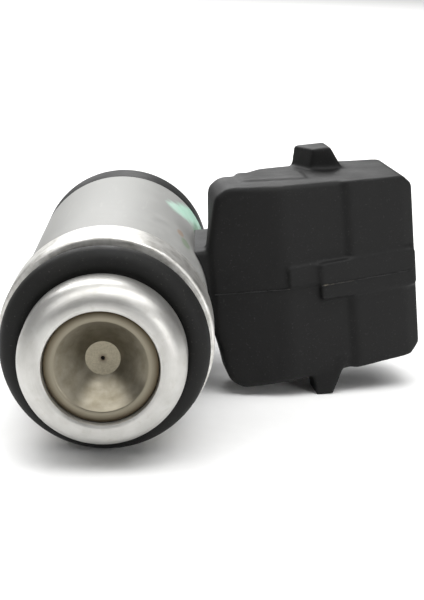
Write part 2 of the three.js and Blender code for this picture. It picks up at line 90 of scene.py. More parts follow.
def turned(name, profile, sides=144, closed=True):
    """A piece turned on the injector's axis: a ring is drawn along the profile of (radius, station)."""
    bpy.ops.object.select_all(action="DESELECT")
    radius, start = profile[0]
    bpy.ops.mesh.primitive_circle_add(
        vertices=sides, radius=radius * mm, location=(0, station(start), 0), rotation=(math.pi / 2, 0, 0)
    )
    piece = bpy.context.object
    piece.name = name
    bpy.ops.object.transform_apply()
    bpy.ops.object.mode_set(mode="EDIT")
    bpy.ops.mesh.select_all(action="SELECT")
    path = profile + profile[:1] if closed else profile
    for (r0, s0), (r1, s1) in zip(path, path[1:]):
        bpy.ops.mesh.extrude_edges_indiv()
        bpy.ops.transform.resize(value=(r1 / r0, 1, r1 / r0), center_override=(0, station(s0), 0))
        bpy.ops.transform.translate(value=(0, (s1 - s0) * mm, 0))
    bpy.ops.mesh.select_all(action="SELECT")
    bpy.ops.mesh.remove_doubles(threshold=2e-6)
    if not closed:
        bpy.ops.mesh.fill_holes(sides=0)
    bpy.ops.mesh.normals_make_consistent(inside=False)
    bpy.ops.mesh.select_all(action="DESELECT")
    bpy.ops.object.mode_set(mode="OBJECT")
    return piece


def round_ring(piece, radius, s, width, segments):
    """Rounds the turned edge at that radius and station."""
    activate(piece)
    bpy.ops.object.mode_set(mode="EDIT")
    bpy.ops.mesh.select_all(action="DESELECT")
    bpy.ops.mesh.select_mode(type="EDGE")
    mesh = bmesh.from_edit_mesh(piece.data)
    for edge in mesh.edges:
        ends = [(math.hypot(v.co.x, v.co.z), v.co.y) for v in edge.verts]
        if all(abs(r - radius * mm) < 4e-6 and abs(y - station(s)) < 4e-6 for r, y in ends):
            edge.select_set(True)
    bmesh.update_edit_mesh(piece.data)
    bpy.ops.mesh.bevel(offset=width * mm, segments=segments, profile=0.5)
    bpy.ops.object.mode_set(mode="OBJECT")


def apply(piece, kind, **settings):
    """Adds a modifier, applies it and leaves the plain mesh."""
    activate(piece)
    modifier = piece.modifiers.new(kind.lower(), kind)
    for key, value in settings.items():
        setattr(modifier, key, value)
    bpy.ops.object.modifier_apply(modifier=modifier.name)


def smooth(piece, angle=32):
    activate(piece)
    bpy.ops.object.shade_smooth_by_angle(angle=math.radians(angle))


def settle(piece, body, finish):
    """Gives the piece its finish and the body it moves with."""
    piece.data.materials.clear()
    piece.data.materials.append(finish)
    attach(piece, body)


def add_node(finish, kind, inputs=None, **settings):
    """One shader node; an input is either a value or another node's output."""
    tree = finish.node_tree
    node = tree.nodes.new("ShaderNode" + kind)
    for key, value in settings.items():
        setattr(node, key, value)
    for key, value in (inputs or {}).items():
        if isinstance(value, bpy.types.NodeSocket):
            tree.links.new(value, node.inputs[key])
        else:
            node.inputs[key].default_value = value
    return node


def new_finish(name, metallic, **settings):
    finish = bpy.data.materials.new(name)
    finish.use_nodes = True
    shader = finish.node_tree.nodes["Principled BSDF"]
    shader.inputs["Metallic"].default_value = metallic
    for key, value in settings.items():
        shader.inputs[key.replace("_", " ")].default_value = value
    return finish


def feed(finish, key, socket):
    shader = finish.node_tree.nodes["Principled BSDF"]
    finish.node_tree.links.new(socket, shader.inputs[key])


def place_on(finish, stretch=(1, 1, 1)):
    """Object coordinates, stretched to draw a grain out along one direction."""
    where = add_node(finish, "TexCoord").outputs["Object"]
    if stretch == (1, 1, 1):
        return where
    return add_node(finish, "Mapping", {"Vector": where, "Scale": stretch}).outputs["Vector"]


def speckle(finish, per_mm, detail=3.0, rough=0.55, vector=None):
    """Noise with about that many grains to the millimetre."""
    vector = vector or place_on(finish)
    inputs = {"Vector": vector, "Scale": per_mm / mm, "Detail": detail, "Roughness": rough}
    return add_node(finish, "TexNoise", inputs).outputs["Fac"]


def turning_marks(finish, per_mm):
    """Fine rings round the axis, as the lathe tool leaves on faces, cones and cylinders alike."""
    parts = add_node(finish, "SeparateXYZ", {"Vector": place_on(finish)}).outputs
    flat = add_node(finish, "CombineXYZ", {"X": parts["X"], "Y": parts["Z"]}).outputs["Vector"]
    radius = add_node(finish, "VectorMath", {0: flat}, operation="LENGTH").outputs["Value"]
    scaled = add_node(finish, "Math", {0: parts["Y"], 1: 1.7}, operation="MULTIPLY").outputs[0]
    along = add_node(finish, "Math", {0: radius, 1: scaled}, operation="ADD").outputs[0]
    fine = add_node(finish, "Math", {0: along, 1: 30.0}, operation="MULTIPLY").outputs[0]
    vector = add_node(finish, "CombineXYZ", {"X": fine, "Y": parts["X"], "Z": parts["Z"]}).outputs[0]
    return speckle(finish, per_mm / 30, 2.0, 0.6, vector)


def shades(finish, factor, stops):
    """A run of colours over the factor, from (position, colour) pairs."""
    ramp = add_node(finish, "ValToRGB", {"Fac": factor})
    for index, (position, colour) in enumerate(stops):
        if index < 2:
            stop = ramp.color_ramp.elements[index]
            stop.position = position
        else:
            stop = ramp.color_ramp.elements.new(position)
        stop.color = (*colour, 1)
    return ramp.outputs["Color"]


def span(finish, factor, low, high, start=0.3, end=0.7):
    """The factor stretched over a range of values."""
    inputs = {"Value": factor, "From Min": start, "From Max": end, "To Min": low, "To Max": high}
    return add_node(finish, "MapRange", inputs).outputs["Result"]


def stain(finish, factor, under, over):
    """One colour laid over another where the factor is high."""
    node = add_node(finish, "Mix", {"Factor": factor}, data_type="RGBA")
    for key, value in ((6, under), (7, over)):
        if isinstance(value, bpy.types.NodeSocket):
            finish.node_tree.links.new(value, node.inputs[key])
        else:
            node.inputs[key].default_value = (*value, 1)
    return node.outputs[2]


def relief(finish, *layers):
    """Bumps from (height, depth in millimetres) layers, one over the other."""
    normal = None
    for height, depth in layers:
        inputs = {"Height": height, "Distance": depth * mm, "Strength": 1.0}
        if normal:
            inputs["Normal"] = normal
        normal = add_node(finish, "Bump", inputs).outputs["Normal"]
    feed(finish, "Normal", normal)


nozzle_finish = new_finish("bright turned steel", 1.0)
rings = turning_marks(nozzle_finish, 14)
haze = speckle(nozzle_finish, 0.35)
pale = shades(nozzle_finish, haze, [(0.3, (0.43, 0.422, 0.40)), (0.7, (0.56, 0.555, 0.535))])
dull = span(nozzle_finish, speckle(nozzle_finish, 1.6), 0.0, 0.35, 0.58, 0.8)
feed(nozzle_finish, "Base Color", stain(nozzle_finish, dull, pale, (0.34, 0.31, 0.26)))
feed(nozzle_finish, "Roughness", span(nozzle_finish, rings, 0.36, 0.52))
relief(nozzle_finish, (rings, 0.006), (speckle(nozzle_finish, 9), 0.003))

press_gap = 0.05
mouth_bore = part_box("plate_retainer")[1].x / mm + press_gap
nose_radius, nose_start, nozzle_end = 7.2, 0, 20
shank_radius, groove_start = 6.5, 4.05
sleeve_bore, guide_end = 4.45, 8.02
nozzle = turned("nozzle_shell", [
    (mouth_bore, nose_start), (nose_radius, nose_start), (nose_radius, groove_start),
    (shank_radius, groove_start), (shank_radius, nozzle_end), (sleeve_bore, nozzle_end),
    (sleeve_bore, guide_end), (mouth_bore, guide_end),
])
round_ring(nozzle, nose_radius, nose_start, 1.9, 14)
round_ring(nozzle, mouth_bore, nose_start, 0.3, 2)
round_ring(nozzle, nose_radius, groove_start, 0.25, 3)
round_ring(nozzle, shank_radius, nozzle_end, 0.2, 2)
smooth(nozzle)
settle(nozzle, "injector", nozzle_finish)
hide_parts("nozzle_body")

# ---- Spray cone ring ----
# The ring that holds the orifice plate down: turned steel with a wide polished cone, pressed into the
# mouth of the nozzle. Fuel has browned its flat face and the deep end of the cone. The flat face is
# also drawn darker towards its outer edge, as painted shade in the corner against the nozzle's bore.
retainer_radius, retainer_start, retainer_end = 4.85, 0.6, 3.05
cone_mouth, cone_throat = 3.97, 1.5
retainer_finish = new_finish("stained polished steel with painted corner shade", 1.0)
cone_rings = turning_marks(retainer_finish, 10)
parts = add_node(retainer_finish, "SeparateXYZ", {"Vector": place_on(retainer_finish)}).outputs
face_end = 0.85
face = span(retainer_finish, parts["Y"], 1.0, 0.0, station(retainer_start), station(face_end))
lacquer = speckle(retainer_finish, 0.9, 5.0)
warm = shades(retainer_finish, lacquer, [(0.3, (0.16, 0.142, 0.103)), (0.7, (0.245, 0.225, 0.178))])
flat = add_node(retainer_finish, "CombineXYZ", {"X": parts["X"], "Y": parts["Z"]}).outputs["Vector"]
outwards = add_node(retainer_finish, "VectorMath", {0: flat}, operation="LENGTH").outputs["Value"]
# Painted shade: the flat face is drawn darker towards its outer edge, in the corner against the nozzle's
# bore; its brown tone is fuel stain.
edge = span(retainer_finish, outwards, 0.0, 1.0, 4.2 * mm, 4.75 * mm)
browned_and_corner_shade = stain(retainer_finish, edge, (0.21, 0.19, 0.145), (0.075, 0.058, 0.036))
feed(retainer_finish, "Base Color", stain(retainer_finish, face, warm, browned_and_corner_shade))
feed(retainer_finish, "Roughness", span(retainer_finish, cone_rings, 0.33, 0.43))
relief(retainer_finish, (cone_rings, 0.002), (lacquer, 0.004))
retainer = turned("spray_cone_ring", [
    (cone_mouth, retainer_start), (retainer_radius, retainer_start),
    (retainer_radius, retainer_end), (cone_throat, retainer_end),
])
round_ring(retainer, cone_mouth, retainer_start, 0.07, 3)
round_ring(retainer, retainer_radius, retainer_start, 0.1, 2)
smooth(retainer)
settle(retainer, "injector", retainer_finish)
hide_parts("plate_retainer")

# ---- Orifice plate ----
# A thin stamped disc with the metering hole pierced through its middle. Its face is etched matt, and a
# faint darker ring has built up round the hole.
plate_radius, plate_start, plate_end = 4.85, 3.08, 3.33
metering_hole = 0.17
plate_finish = new_finish("etched plate steel", 0.75)
etch = speckle(plate_finish, 7, 4.0)
parts = add_node(plate_finish, "SeparateXYZ", {"Vector": place_on(plate_finish)}).outputs
flat = add_node(plate_finish, "CombineXYZ", {"X": parts["X"], "Y": parts["Z"]}).outputs["Vector"]
from_hole = add_node(plate_finish, "VectorMath", {0: flat}, operation="LENGTH").outputs["Value"]
beige = shades(plate_finish, etch, [(0.3, (0.23, 0.205, 0.15)), (0.7, (0.33, 0.30, 0.225))])
halo = span(plate_finish, from_hole, 0.85, 0.0, 0.16 * mm, 0.5 * mm)
feed(plate_finish, "Base Color", stain(plate_finish, halo, beige, (0.13, 0.10, 0.07)))
feed(plate_finish, "Roughness", span(plate_finish, etch, 0.42, 0.6))
relief(plate_finish, (etch, 0.006))
plate = turned("orifice_disc", [
    (metering_hole, plate_start), (plate_radius, plate_start),
    (plate_radius, plate_end), (metering_hole, plate_end),
])
round_ring(plate, metering_hole, plate_start, 0.04, 2)
smooth(plate)
settle(plate, "injector", plate_finish)
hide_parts("orifice_plate")

# ---- Lower O-ring ----
# The seal against the intake manifold: moulded black rubber, stretched into the groove behind the nose,
# with a hair of moulding flash round its widest part.
rubber_finish = new_finish("black seal rubber", 0.0, Specular_IOR_Level=0.2)
bloom = speckle(rubber_finish, 0.5, 5.0)
dust = speckle(rubber_finish, 5, 2.0)
black = shades(rubber_finish, bloom, [(0.3, (0.005, 0.005, 0.005)), (0.75, (0.011, 0.011, 0.010))])
specks = span(rubber_finish, dust, 0.0, 0.18, 0.66, 0.74)
feed(rubber_finish, "Base Color", stain(rubber_finish, specks, black, (0.14, 0.135, 0.12)))
feed(rubber_finish, "Roughness", span(rubber_finish, bloom, 0.5, 0.7))
relief(rubber_finish, (speckle(rubber_finish, 6), 0.01), (bloom, 0.03))


def seal_ring(name, node):
    """An O-ring filling the box of its CAD node, with its flash line drawn out a little."""
    low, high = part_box(node)
    section = (high.y - low.y) / 2
    flash = 0.03 * mm
    middle = high.x - flash - section
    bpy.ops.object.select_all(action="DESELECT")
    bpy.ops.mesh.primitive_torus_add(
        major_radius=middle, minor_radius=section, major_segments=160, minor_segments=36,
        location=(0, (low.y + high.y) / 2, 0), rotation=(math.pi / 2, 0, 0),
    )
    ring = bpy.context.object
    ring.name = name
    bpy.ops.object.transform_apply()
    bpy.ops.object.mode_set(mode="EDIT")
    bpy.ops.mesh.select_mode(type="VERT")
    bpy.ops.mesh.select_all(action="DESELECT")
    mesh = bmesh.from_edit_mesh(ring.data)
    widest = middle + section
    for vertex in mesh.verts:
        if math.hypot(vertex.co.x, vertex.co.z) > widest - 1e-6:
            vertex.select_set(True)
    bmesh.update_edit_mesh(ring.data)
    grow = (widest + flash) / widest
    bpy.ops.transform.resize(value=(grow, 1, grow), center_override=(0, (low.y + high.y) / 2, 0))
    bpy.ops.object.mode_set(mode="OBJECT")
    smooth(ring, 60)
    settle(ring, "injector", rubber_finish)
    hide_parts(node)


seal_ring("manifold_seal", "lower_o_ring")

# ---- Shoulder ring ----
# A plain steel ring turned to size and pressed on the shank, against the barrel. It backs up the seal
# and shows clear tool rings under light rubbing marks.
shoulder_finish = new_finish("turned shoulder steel", 1.0)
rings = turning_marks(shoulder_finish, 9)
rub = speckle(shoulder_finish, 1.1, 6.0)
grey = shades(shoulder_finish, rub, [
    (0.3, (0.46, 0.45, 0.42)), (0.55, (0.66, 0.65, 0.62)), (0.8, (0.78, 0.77, 0.75)),
])
feed(shoulder_finish, "Base Color", grey)
feed(shoulder_finish, "Roughness", span(shoulder_finish, rings, 0.36, 0.56))
relief(shoulder_finish, (rings, 0.012), (rub, 0.01))
shoulder_radius, shoulder_start, shoulder_end = 9.52, 7.35, 12.05
shoulder_bore = shank_radius + press_gap
shoulder = turned("shoulder_collar", [
    (shoulder_bore, shoulder_start), (shoulder_radius, shoulder_start),
    (shoulder_radius, shoulder_end), (shoulder_bore, shoulder_end),
])
round_ring(shoulder, shoulder_radius, shoulder_start, 0.28, 4)
round_ring(shoulder, shoulder_radius, shoulder_end, 0.28, 4)
smooth(shoulder)
settle(shoulder, "injector", shoulder_finish)
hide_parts("shoulder_ring")

# ---- Barrel ----
# The deep-drawn steel barrel round the coil, zinc plated to an even matt grey, with a window sawn in
# its side for the neck of the plug socket. Assembly left daubs of green marking paint near the neck;
# the two long dark green strips close under the socket are that paint drawn dark, as painted shade.
barrel_finish = new_finish("plated barrel steel", 0.2)
mottle = speckle(barrel_finish, 0.55, 6.0)
grit = speckle(barrel_finish, 9, 3.0)
zinc = shades(barrel_finish, mottle, [(0.3, (0.25, 0.25, 0.24)), (0.7, (0.295, 0.295, 0.284))])
scuffs = speckle(barrel_finish, 1.2, 4.0, 0.6, place_on(barrel_finish, (1, 0.12, 1)))
scuffed = span(barrel_finish, scuffs, 0.0, 0.35, 0.62, 0.75)
bare = stain(barrel_finish, scuffed, zinc, (0.36, 0.355, 0.34))


def daub_or_shade_strip(finish, under, centre, size, turn, paint_or_shade):
    """A ragged-edged patch of marking colour laid over the plating; in a dark colour it is a strip of
    painted shade.
    """
    where = add_node(finish, "Mapping", {
        "Vector": place_on(finish), "Location": [c * mm for c in centre],
        "Rotation": turn, "Scale": [s * mm for s in size],
    }, vector_type="TEXTURE").outputs["Vector"]
    away = add_node(finish, "VectorMath", {0: where}, operation="LENGTH").outputs["Value"]
    ragged = add_node(finish, "Math", {0: speckle(finish, 0.6, 3.0), 1: away}, operation="ADD").outputs[0]
    return stain(finish, span(finish, ragged, 0.85, 0.0, 1.15, 1.6), under, paint_or_shade)


painted = bare
for centre, size, paint_or_shade in (
    ((6.5, 26.0, 6.2), (1.5, 2.3, 1.4), (0.46, 0.66, 0.56)),
    ((7.4, 28.2, 5.1), (1.7, 3.0, 1.8), (0.40, 0.66, 0.53)),
    ((8.2, 31.0, 3.7), (1.5, 3.2, 2.0), (0.32, 0.56, 0.44)),
    # The next two long dark strips are painted shade: the green drawn dark close under the socket.
    ((8.4, 26.4, 3.3), (1.2, 3.4, 1.3), (0.10, 0.24, 0.14)),
    ((8.7, 30.4, 2.0), (1.0, 3.0, 1.3), (0.07, 0.17, 0.10)),
    ((7.3, 14.6, 5.2), (0.7, 1.5, 0.7), (0.17, 0.22, 0.15)),
    ((6.9, 16.6, 5.8), (0.5, 1.2, 0.5), (0.26, 0.19, 0.14)),
):
    painted = daub_or_shade_strip(barrel_finish, painted, centre, size, (0, 0, 0), paint_or_shade)
feed(barrel_finish, "Base Color", painted)
feed(barrel_finish, "Roughness", span(barrel_finish, mottle, 0.52, 0.66))
relief(barrel_finish, (grit, 0.008), (mottle, 0.01))

barrel_radius, barrel_start, barrel_end = 9, 12.08, 38
coil_room = 7.95
barrel = turned("coil_barrel", [
    (shoulder_bore, barrel_start), (barrel_radius, barrel_start), (barrel_radius, barrel_end),
    (coil_room, barrel_end), (coil_room, nozzle_end), (shoulder_bore, nozzle_end),
])
round_ring(barrel, barrel_radius, barrel_start, 0.35, 4)
round_ring(barrel, barrel_radius, barrel_end, 0.2, 3)


def block(name, low, high):
    """A squared block between two corners, in millimetres, to be sawn and rounded to shape."""
    bpy.ops.object.select_all(action="DESELECT")
    middle = [(a + b) / 2 * mm for a, b in zip(low, high)]
    bpy.ops.mesh.primitive_cube_add(size=mm, location=middle)
    piece = bpy.context.object
    piece.name = name
    piece.scale = [b - a for a, b in zip(low, high)]
    bpy.ops.object.transform_apply()
    return piece


def join_solid(piece, other, operation="UNION"):
    """Joins another solid to the piece, or cuts it away, and uses it up."""
    apply(piece, "BOOLEAN", operation=operation, object=other, solver="EXACT")
    bpy.data.objects.remove(other)


window_start, window_end, window_half = 15.9, 24.8, 3.4
window = block("window", (6.7, window_start, -window_half), (10, window_end, window_half))
join_solid(barrel, window, "DIFFERENCE")
smooth(barrel)
settle(barrel, "injector", barrel_finish)
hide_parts("barrel_housing")

# ---- Moulding ----
# The black moulding, one shot of glass-filled nylon: the jacket in the barrel, the collar behind it,
# the neck through the barrel's window and the leaning plug socket with its rib, band and two lugs.
lean_angle = math.radians(7)
socket_root = station(18.2)
# The socket is made upright and leaned afterwards. Its points are (out from the axis, deep, high).
inner, mouth, depth, wall = 9.6, 30.4, 13.0, 1.4
mouth_half = 9.15
outline = [(inner, 4.1), (10.7, 9.2), (12.0, 10.1), (29.4, mouth_half), (mouth, 8.15)]
front_foot, front_crease, front_mouth = (inner, 1.5), (16.8, 0.4), (mouth, 3.2)
rear_foot, rear_crease, rear_band = (13.2, 7.8), (16.2, 11.2), (23.0, depth)
heel_rear = (10.85, 7.8)
tall = 10.3
band_start, band_ramp, band_rise = 23.0, 1.1, 0.4
rib_start, rib_end, rib_half, rib_rise = 20.2, mouth - 0.15, 1.85, 0.7
step_start, step_end, step_foot, step_rise = 17.1, 21.2, 0.2, 0.35
lug_foot, lug_width, lug_rise, lug_ramp = 8.15, 3.6, 2.1, 1.7
lug_base = 10.08
neck_front, neck_rear, neck_half, neck_end = 1.7, 12, 4.1, 14.8
cavity_floor, cavity_front = 17.0, 4.2
mark_out, mark_side, mark_radius = 27, 6, 1.3


def trim(piece, point, normal):
    """Saws off what lies beyond a plane and closes the cut."""
    activate(piece)
    bpy.ops.object.mode_set(mode="EDIT")
    bpy.ops.mesh.select_all(action="SELECT")
    bpy.ops.mesh.bisect(
        plane_co=[c * mm for c in point], plane_no=Vector(normal).normalized(),
        use_fill=True, clear_outer=True, threshold=1e-6,
    )
    bpy.ops.object.mode_set(mode="OBJECT")


def trim_plan(piece, start, end, forward=0.0):
    """Saws along a line seen from above, and takes off what lies on its left."""
    (u0, w0), (u1, w1) = start, end
    trim(piece, (u0, w0 - forward, 0), (w0 - w1, u1 - u0, 0))


def trim_ends(piece):
    """Cuts the socket's outline, as seen from the front, on both sides."""
    for side in (1, -1):
        for (u0, v0), (u1, v1) in zip(outline, outline[1:]):
            trim(piece, (u0, 0, side * v0), (v0 - v1, 0, side * (u1 - u0)))


def round_edges(piece, width, segments=3):
    apply(piece, "BEVEL", width=width * mm, segments=segments, limit_method="ANGLE",
          angle_limit=math.radians(12), harden_normals=False)


def front_face(u):
    """Depth of the tapered front face at a distance out from the axis."""
    (u0, w0), (u1, w1) = front_crease, front_mouth
    return w0 + (w1 - w0) * (u - u0) / (u1 - u0)


socket = block("plug_socket", (inner, 0, -tall), (mouth, depth, tall))
trim_plan(socket, front_crease, front_foot)
trim_plan(socket, front_mouth, front_crease)
trim_plan(socket, rear_crease, rear_band)
trim_plan(socket, rear_foot, rear_crease)
trim_ends(socket)
round_edges(socket, 0.7, 4)

heel = block("heel", (inner, 0, -tall), (15.5, heel_rear[1], tall))
trim_plan(heel, front_crease, front_foot)
trim_plan(heel, front_foot, heel_rear)
trim_ends(heel)
round_edges(heel, 0.6, 4)

band = block("band", (band_start, 0, -tall), (mouth, depth, tall))
trim_plan(band, front_mouth, front_crease, band_rise)
trim(band, (band_start, front_face(band_start), 0), (-band_rise, -band_ramp, 0))
trim_ends(band)
trim(band, (mouth - 1.2, front_face(mouth) - 0.6, 0), (0.9, -1.5, 0))
round_edges(band, 0.2)

rib = block("rib", (rib_start, 0, -rib_half), (rib_end, 6, rib_half))
trim_plan(rib, front_mouth, front_crease, rib_rise)
round_edges(rib, 0.16)

rib_step = block("rib_step", (step_start, -0.5, -step_foot), (step_end, 4, rib_half))
trim_plan(rib_step, front_mouth, front_crease, step_rise)
round_edges(rib_step, 0.12)


def key_lug(start, length, front, side, sweep, batter, rounding):
    """A keying lug: a steep side towards the barrel, swept back in plan, and a ramp towards the mouth."""
    share = (start - inner) / (mouth - inner)
    top = lug_base + (mouth_half - lug_base) * share + lug_rise
    height = top - lug_foot
    low, high = sorted((8 * side, top * side))
    lug = block("lug", (start - sweep, front, low), (start + length, front + lug_width, high))
    trim(lug, (start, front, side * lug_foot), (-height, -height * sweep / lug_width, side * batter))
    trim(lug, (start + length - lug_ramp, 0, side * top), (height, 0, side * lug_ramp))
    round_edges(lug, rounding, 4)
    return lug


upper_lug = key_lug(21.1, 4.2, 8.4, 1, 1.4, 0.75, 0.55)
lower_lug = key_lug(18.9, 3.7, 1.3, -1, 0, 0.3, 0.75)

neck = block("neck", (7, neck_front, -neck_half), (neck_end, neck_rear, neck_half))
round_edges(neck, 0.6)

# A plain shallow panel stands on the upper side.
pad_top = 10.28
pad = block("pad", (13.6, 3.6, 9.2), (20.2, 8.2, pad_top))
trim(pad, (12.6, 0, pad_top), (0.95, 0, 16.8))
round_edges(pad, 0.3)


def gather(piece, parts):
    """Puts several parts into one piece."""
    activate(piece)
    for part in parts:
        part.select_set(True)
    bpy.ops.object.join()


# The parts are fused into one skin, hollowed out, and softened at the corners as a mould leaves them.
gather(socket, [heel, band, rib, rib_step, upper_lug, lower_lug, neck, pad])
apply(socket, "REMESH", mode="VOXEL", voxel_size=0.17 * mm)
cavity_rear, cavity_half = depth - wall, mouth_half - wall
cavity = block("cavity", (cavity_floor, cavity_front, -cavity_half), (mouth + 2, cavity_rear, cavity_half))
trim_plan(cavity, rear_crease, rear_band, wall)
round_edges(cavity, 0.9, 4)
join_solid(socket, cavity, "DIFFERENCE")
for side in (1, -1):
    bpy.ops.object.select_all(action="DESELECT")
    bpy.ops.mesh.primitive_cylinder_add(
        vertices=32, radius=mark_radius * mm, depth=0.8 * mm, rotation=(math.pi / 2, 0, 0),
        location=(mark_out * mm, (depth + 0.2) * mm, side * mark_side * mm),
    )
    pin_mark = bpy.context.object
    bpy.ops.object.transform_apply()
    join_solid(socket, pin_mark, "DIFFERENCE")
apply(socket, "REMESH", mode="VOXEL", voxel_size=0.18 * mm)
apply(socket, "SMOOTH", factor=0.5, iterations=3)


def lean(piece):
    """Leans a piece of the socket over and puts it in its place."""
    activate(piece)
    piece.rotation_euler = (0, 0, lean_angle)
    piece.location = (0, socket_root, 0)
    bpy.ops.object.transform_apply()


lean(socket)
room_radius = barrel_radius + press_gap
room = turned("room", [(room_radius, 2), (room_radius, 42)], 144, False)
join_solid(socket, room, "DIFFERENCE")

jacket_bore, jacket_radius, tube_bore = 7.35, 7.9, 4.45
jacket_start, jacket_end = 20.3, 35.9
link_start, collar_start, collar_end = 37.21, 38.03, 42.2
jacket = turned("jacket", [
    (jacket_bore, jacket_start), (jacket_radius, jacket_start),
    (jacket_radius, jacket_end), (jacket_bore, jacket_end),
], 96)
collar = turned("collar", [
    (jacket_bore, link_start), (jacket_radius, link_start), (jacket_radius, collar_start),
    (barrel_radius, collar_start), (barrel_radius, collar_end), (tube_bore, collar_end),
    (tube_bore, link_start),
])
round_ring(collar, barrel_radius, collar_end, 0.5, 5)
round_ring(collar, barrel_radius, collar_start, 0.12, 2)
tongue = block("tongue", (7.55, window_start + press_gap, press_gap - window_half),
               (10.6, window_end - press_gap, window_half - press_gap))
round_edges(tongue, 0.1, 1)
gather(socket, [jacket, collar, tongue])

nylon_finish = new_finish("black glass-filled nylon", 0.0, Specular_IOR_Level=0.2)
fibre = speckle(nylon_finish, 5, 4.0, 0.6)
cloud = speckle(nylon_finish, 0.22, 5.0)
coal = shades(nylon_finish, cloud, [(0.3, (0.004, 0.004, 0.004)), (0.7, (0.008, 0.008, 0.008))])
glint = span(nylon_finish, speckle(nylon_finish, 5, 2.0), 0.0, 0.11, 0.62, 0.76)
feed(nylon_finish, "Base Color", stain(nylon_finish, glint, coal, (0.13, 0.13, 0.128)))
feed(nylon_finish, "Roughness", span(nylon_finish, cloud, 0.5, 0.66))
relief(nylon_finish, (cloud, 0.05), (fibre, 0.012))
smooth(socket, 40)
settle(socket, "injector", nylon_finish)
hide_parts("plug_moulding")

# ---- Parting line ----
# A hair of flash stands along the socket's front where the two halves of the mould met. Its edge is
# ragged, and chalky dust has caught on it beside the rib.
flash_finish = new_finish("ragged nylon flash", 0.0)
crumb = speckle(flash_finish, 1.1, 4.0)
parts = add_node(flash_finish, "SeparateXYZ", {"Vector": place_on(flash_finish)}).outputs
outwards = span(flash_finish, parts["X"], 0.0, 1.0, 16.0 * mm, 18.5 * mm)
inwards = span(flash_finish, parts["X"], 1.0, 0.0, 20.5 * mm, 23.5 * mm)
near_rib = add_node(flash_finish, "Math", {0: outwards, 1: inwards}, operation="MULTIPLY").outputs[0]
caught = span(flash_finish, crumb, 0.0, 1.0, 0.46, 0.60)
dusty = add_node(flash_finish, "Math", {0: near_rib, 1: caught}, operation="MULTIPLY").outputs[0]
chalk = stain(flash_finish, dusty, (0.010, 0.010, 0.010), (0.14, 0.125, 0.095))
feed(flash_finish, "Base Color", chalk)
feed(flash_finish, "Roughness", span(flash_finish, crumb, 0.6, 0.85))
relief(flash_finish, (speckle(flash_finish, 8), 0.02))
flash_joint, flash_rise = 20.3, 0.05
inner_flash = block("parting_flash", (inner + 0.35, 0, -0.30), (flash_joint, 2, -0.20))
trim_plan(inner_flash, front_crease, front_foot, flash_rise)
trim_plan(inner_flash, front_mouth, front_crease, flash_rise)
rib_flash = block("rib_flash", (flash_joint, 0, -0.36), (mouth - 0.6, 3.2, -0.28))
trim_plan(rib_flash, front_mouth, front_crease, rib_rise + 0.04)
for strip, seed in ((inner_flash, 3), (rib_flash, 8)):
    activate(strip)
    bpy.ops.object.mode_set(mode="EDIT")
    bpy.ops.mesh.select_all(action="SELECT")
    bpy.ops.mesh.subdivide(number_cuts=30)
    bpy.ops.transform.vertex_random(offset=0.035 * mm, uniform=1.0, seed=seed)
    bpy.ops.object.mode_set(mode="OBJECT")
gather(inner_flash, [rib_flash])
for u, v, size in ((18.3, -0.28, 0.13), (18.9, -0.36, 0.10), (19.3, -0.24, 0.16), (19.9, -0.33, 0.12)):
    bpy.ops.object.select_all(action="DESELECT")
    bpy.ops.mesh.primitive_ico_sphere_add(
        subdivisions=2, radius=size * mm, location=(u * mm, front_face(u) * mm, v * mm)
    )
    crumb_piece = bpy.context.object
    crumb_piece.scale = (1.6, 0.6, 0.8)
    bpy.ops.object.transform_apply()
    bpy.ops.object.mode_set(mode="EDIT")
    bpy.ops.transform.vertex_random(offset=0.03 * mm, uniform=1.0, seed=int(u * 10))
    bpy.ops.object.mode_set(mode="OBJECT")
    gather(inner_flash, [crumb_piece])
lean(inner_flash)
settle(inner_flash, "injector", flash_finish)

# ---- Terminals ----
# Two flat brass blades, stamped, tinned and moulded into the floor of the socket. Their tips are
# chamfered on both sides so that the plug's clips ride on easily.
blade_finish = new_finish("tinned brass", 1.0)
roll = speckle(blade_finish, 2.5, 4.0, 0.6, place_on(blade_finish, (0.15, 1, 1)))
tin = shades(blade_finish, roll, [(0.3, (0.62, 0.59, 0.50)), (0.7, (0.78, 0.76, 0.70))])
feed(blade_finish, "Base Color", tin)
feed(blade_finish, "Roughness", span(blade_finish, roll, 0.22, 0.4))
relief(blade_finish, (roll, 0.006))
blade_pitch, half_thick, blade_tip = 5.0, 0.4, 25.0
blade_front, blade_rear = 6.5, 9.3
for node, side in (("terminal_upper", 1), ("terminal_lower", -1)):
    middle = side * blade_pitch / 2
    blade = block(node + "_blade", (9.2, blade_front, middle - half_thick),
                  (blade_tip, blade_rear, middle + half_thick))
    for across, slant in ((blade_front, -1), (blade_rear, 1)):
        trim(blade, (blade_tip - 0.5, across, 0), (0.5, slant * 0.5, 0))
    for up_down in (1, -1):
        trim(blade, (blade_tip - 0.8, 0, middle + up_down * half_thick), (0.2, 0, up_down * 0.8))
    round_edges(blade, 0.07, 2)
    lean(blade)
    smooth(blade)
    settle(blade, "injector", blade_finish)
    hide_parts(node)

# ---- Inlet seal and its support ----
# The larger O-ring that seals in the fuel rail sits on the neck of the fuel tube, between a flat
# plastic ring and the flange of the inlet filter.
seal_ring("rail_seal", "upper_o_ring")
support_finish = new_finish("dark support plastic", 0.0)
swirl = speckle(support_finish, 2, 4.0)
dark = shades(support_finish, swirl, [(0.3, (0.030, 0.030, 0.032)), (0.7, (0.050, 0.050, 0.052))])
feed(support_finish, "Base Color", dark)
feed(support_finish, "Roughness", span(support_finish, swirl, 0.4, 0.55))
relief(support_finish, (swirl, 0.01))
support_radius, support_start, support_end = 6.9, 42.23, 43.53
support_bore = 3.77
support = turned("seal_support", [
    (support_bore, support_start), (support_radius, support_start),
    (support_radius, support_end), (support_bore, support_end),
])
round_ring(support, support_radius, support_start, 0.2, 3)
round_ring(support, support_radius, support_end, 0.2, 3)
smooth(support)
settle(support, "injector", support_finish)
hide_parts("seal_support_ring")

